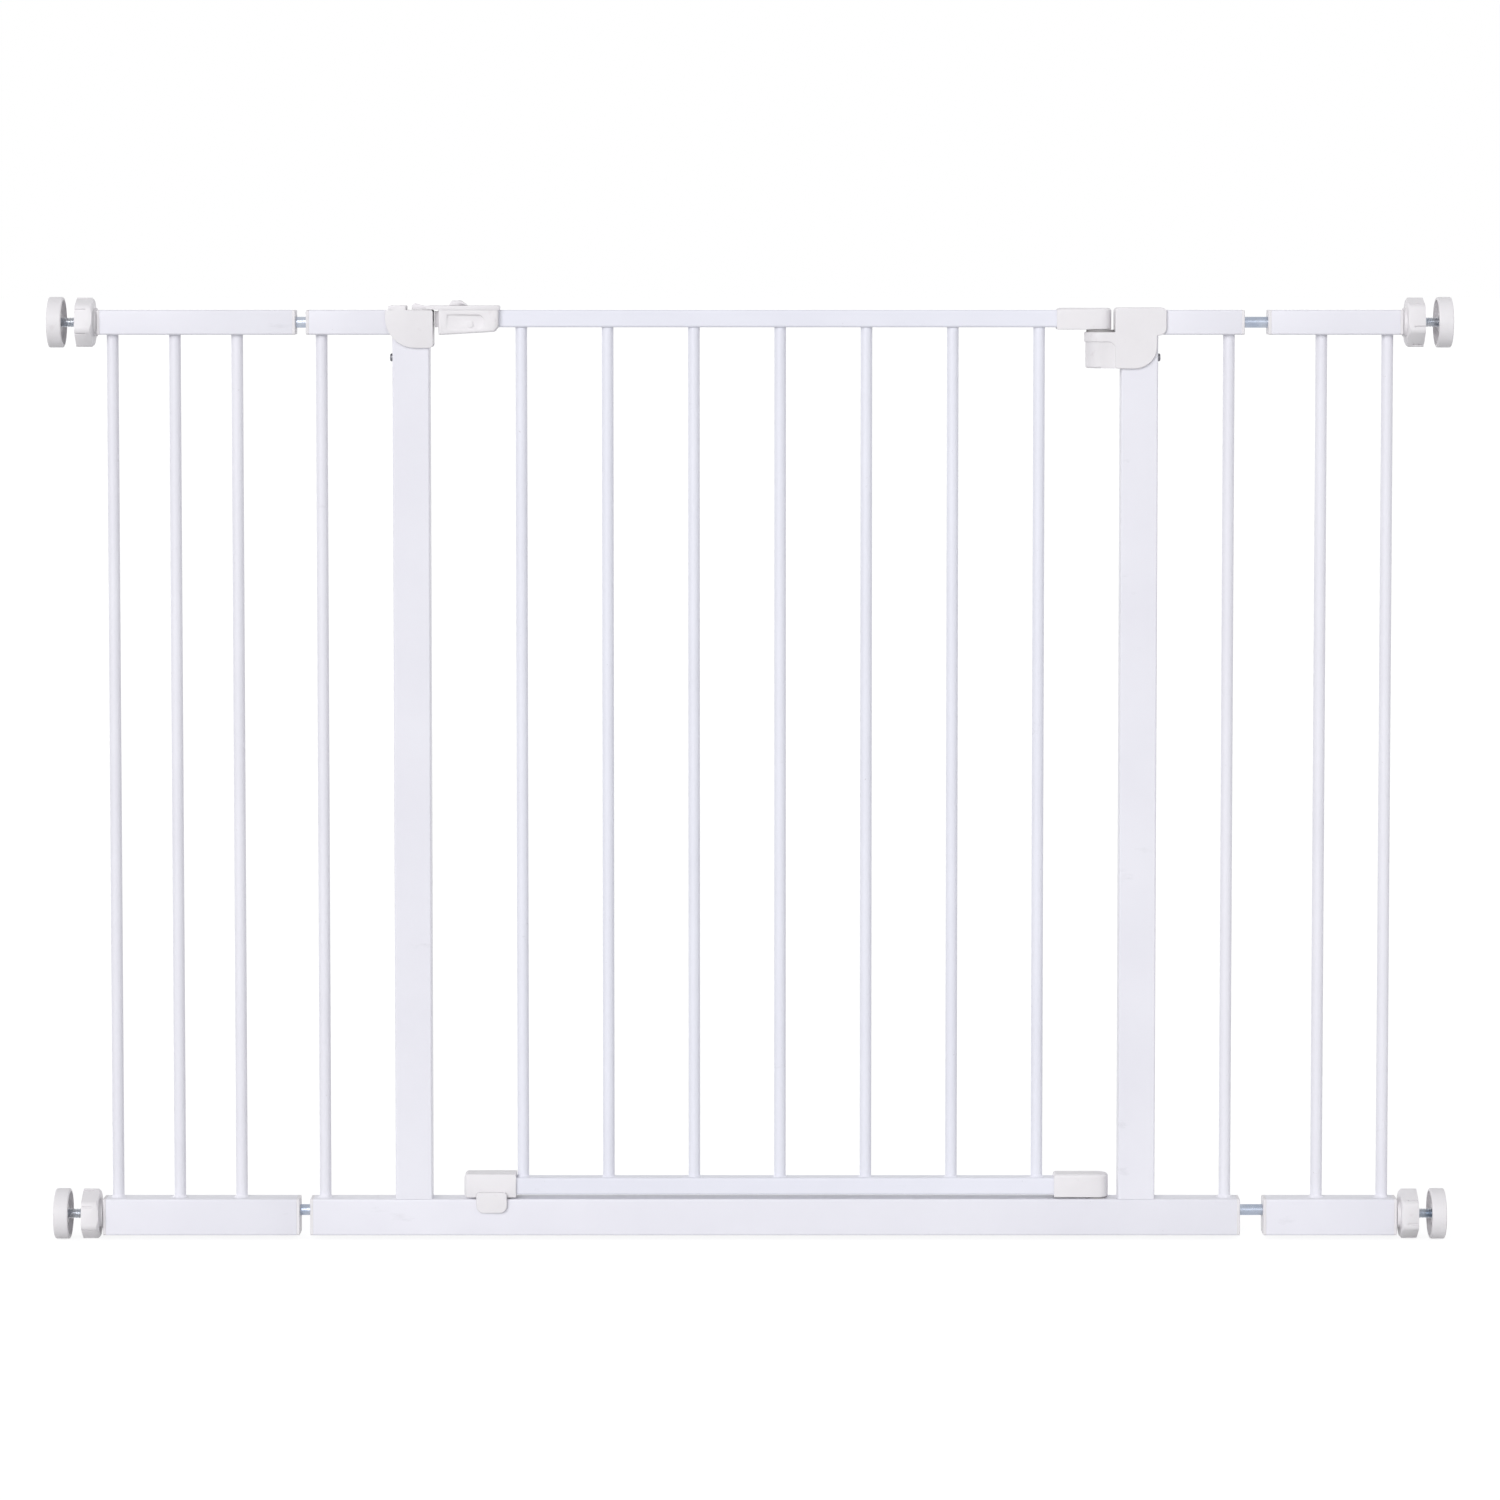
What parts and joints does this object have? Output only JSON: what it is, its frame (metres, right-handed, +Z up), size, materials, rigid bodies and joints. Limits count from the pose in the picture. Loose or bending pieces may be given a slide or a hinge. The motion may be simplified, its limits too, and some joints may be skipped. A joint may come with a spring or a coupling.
{
  "type": "safety baby gate",
  "caption": "Pressure-fit walk-through safety gate: a hinged barred door in a U-shaped tube frame, extension panels and hand-screwed wall feet.",
  "frame": {"origin": "middle of the gate's width and depth, on the floor line, level with the lowest point of the wall feet", "axes": "+X along the wall opening towards the hinge side, +Y away from the side the door opens to, +Z up"},
  "size_m": [1.138, 0.041, 0.7705],
  "materials": {
    "powder_coat": "satin",
    "white_plastic": "satin",
    "bearing_plastic": "matte",
    "zinc_steel": "bright zinc",
    "spring_steel": "drawn wire",
    "pad_rubber": "matte"
  },
  "bodies": {
    "frame": {"frame_bottom_rail": "powder_coat", "latch_post": "powder_coat", "hinge_post": "powder_coat", "left_top_rail": "powder_coat", "right_top_rail": "powder_coat", "left_frame_bar": "powder_coat", "right_frame_bar": "powder_coat", "frame_end_plugs": "white_plastic", "left_joining_rods": "zinc_steel", "right_joining_rods": "zinc_steel", "latch_keeper": "white_plastic", "hinge_housing": "white_plastic", "hinge_socket_cap": "white_plastic", "hinge_spring": "spring_steel", "housing_screws": "zinc_steel", "hinge_washer": "bearing_plastic", "lower_hinge_bush": "bearing_plastic"},
    "hinge_pins": {"upper_hinge_pin": "zinc_steel", "lower_hinge_pin": "zinc_steel"},
    "door": {"door_top_rail": "powder_coat", "door_bottom_rail": "powder_coat", "door_bars": "powder_coat", "upper_hinge_cap": "white_plastic", "lower_hinge_cap": "white_plastic", "lower_latch_cap": "white_plastic", "stop_clip": "white_plastic", "handle_front_shell": "white_plastic", "handle_rear_shell": "white_plastic", "handle_cover": "white_plastic", "handle_screws": "zinc_steel", "latch_pivot_pin": "zinc_steel", "latch_spring": "spring_steel"},
    "latch_hook": {"latch_hook": "white_plastic"},
    "latch_button": {"latch_button": "white_plastic"},
    "left_panel": {"left_panel_bottom_rail": "powder_coat", "left_panel_top_rail": "powder_coat", "left_panel_bars": "powder_coat", "left_panel_plugs": "white_plastic"},
    "right_panel": {"right_panel_bottom_rail": "powder_coat", "right_panel_top_rail": "powder_coat", "right_panel_bars": "powder_coat", "right_panel_plugs": "white_plastic"},
    "upper_left_hand_nut": {"upper_left_hand_nut": "white_plastic"},
    "upper_left_screw_rod": {"upper_left_screw_rod": "zinc_steel"},
    "upper_left_wall_foot": {"upper_left_wall_foot": "white_plastic", "upper_left_wall_pad": "pad_rubber"},
    "lower_left_hand_nut": {"lower_left_hand_nut": "white_plastic"},
    "lower_left_screw_rod": {"lower_left_screw_rod": "zinc_steel"},
    "lower_left_wall_foot": {"lower_left_wall_foot": "white_plastic", "lower_left_wall_pad": "pad_rubber"},
    "upper_right_hand_nut": {"upper_right_hand_nut": "white_plastic"},
    "upper_right_screw_rod": {"upper_right_screw_rod": "zinc_steel"},
    "upper_right_wall_foot": {"upper_right_wall_foot": "white_plastic", "upper_right_wall_pad": "pad_rubber"},
    "lower_right_hand_nut": {"lower_right_hand_nut": "white_plastic"},
    "lower_right_screw_rod": {"lower_right_screw_rod": "zinc_steel"},
    "lower_right_wall_foot": {"lower_right_wall_foot": "white_plastic", "lower_right_wall_pad": "pad_rubber"}
  },
  "joints": [
    {"name": "door_lift", "type": "slide", "parent": "frame", "child": "hinge_pins", "axis": [0, 0, 1], "range_m": [0, 0.015]},
    {"name": "door_swing", "type": "hinge", "parent": "hinge_pins", "child": "door", "pos_m": [0.284, 0, 0.4], "axis": [0, 0, 1], "range_deg": [0, 90], "stiffness_Nm_per_rad": 0.4, "springref_deg": -20.05},
    {"name": "latch_button_slide", "type": "slide", "parent": "door", "child": "latch_button", "axis": [1, 0, 0], "range_m": [-0.004, 0]},
    {"name": "latch_hook_drop", "type": "hinge", "parent": "door", "child": "latch_hook", "pos_m": [-0.2425, 0, 0.753], "axis": [0, 1, 0], "range_deg": [-10, 0]},
    {"name": "left_panel_slide", "type": "slide", "parent": "frame", "child": "left_panel", "axis": [1, 0, 0], "range_m": [-0.02, 0.008]},
    {"name": "right_panel_slide", "type": "slide", "parent": "frame", "child": "right_panel", "axis": [1, 0, 0], "range_m": [-0.0185, 0.02]},
    {"name": "upper_left_nut_turn", "type": "hinge", "parent": "left_panel", "child": "upper_left_hand_nut", "pos_m": [-0.5388, 0, 0.75], "axis": [1, 0, 0], "range_deg": [-2305, 2881]},
    {"name": "upper_left_rod_slide", "type": "slide", "parent": "left_panel", "child": "upper_left_screw_rod", "axis": [-1, 0, 0], "range_m": [-0.008, 0.01]},
    {"name": "upper_left_foot_swivel", "type": "hinge", "parent": "upper_left_screw_rod", "child": "upper_left_wall_foot", "pos_m": [-0.569, 0, 0.75], "axis": [1, 0, 0], "continuous": true},
    {"name": "lower_left_nut_turn", "type": "hinge", "parent": "left_panel", "child": "lower_left_hand_nut", "pos_m": [-0.5388, 0, 0.0205], "axis": [1, 0, 0], "range_deg": [-2305, 2881]},
    {"name": "lower_left_rod_slide", "type": "slide", "parent": "left_panel", "child": "lower_left_screw_rod", "axis": [-1, 0, 0], "range_m": [-0.008, 0.01]},
    {"name": "lower_left_foot_swivel", "type": "hinge", "parent": "lower_left_screw_rod", "child": "lower_left_wall_foot", "pos_m": [-0.569, 0, 0.0205], "axis": [1, 0, 0], "continuous": true},
    {"name": "upper_right_nut_turn", "type": "hinge", "parent": "right_panel", "child": "upper_right_hand_nut", "pos_m": [0.5388, 0, 0.75], "axis": [1, 0, 0], "range_deg": [-2881, 2305]},
    {"name": "upper_right_rod_slide", "type": "slide", "parent": "right_panel", "child": "upper_right_screw_rod", "axis": [1, 0, 0], "range_m": [-0.008, 0.01]},
    {"name": "upper_right_foot_swivel", "type": "hinge", "parent": "upper_right_screw_rod", "child": "upper_right_wall_foot", "pos_m": [0.569, 0, 0.75], "axis": [1, 0, 0], "continuous": true},
    {"name": "lower_right_nut_turn", "type": "hinge", "parent": "right_panel", "child": "lower_right_hand_nut", "pos_m": [0.5388, 0, 0.0205], "axis": [1, 0, 0], "range_deg": [-2881, 2305]},
    {"name": "lower_right_rod_slide", "type": "slide", "parent": "right_panel", "child": "lower_right_screw_rod", "axis": [1, 0, 0], "range_m": [-0.008, 0.01]},
    {"name": "lower_right_foot_swivel", "type": "hinge", "parent": "lower_right_screw_rod", "child": "lower_right_wall_foot", "pos_m": [0.569, 0, 0.0205], "axis": [1, 0, 0], "continuous": true}
  ],
  "couplings": [
    {"joint": "latch_hook_drop", "follows": "latch_button_slide", "rad_per_m": 43.633},
    {"joint": "upper_left_nut_turn", "follows": "upper_left_rod_slide", "rad_per_m": 5026.5},
    {"joint": "lower_left_nut_turn", "follows": "lower_left_rod_slide", "rad_per_m": 5026.5},
    {"joint": "upper_right_nut_turn", "follows": "upper_right_rod_slide", "rad_per_m": -5026.5},
    {"joint": "lower_right_nut_turn", "follows": "lower_right_rod_slide", "rad_per_m": -5026.5}
  ]
}
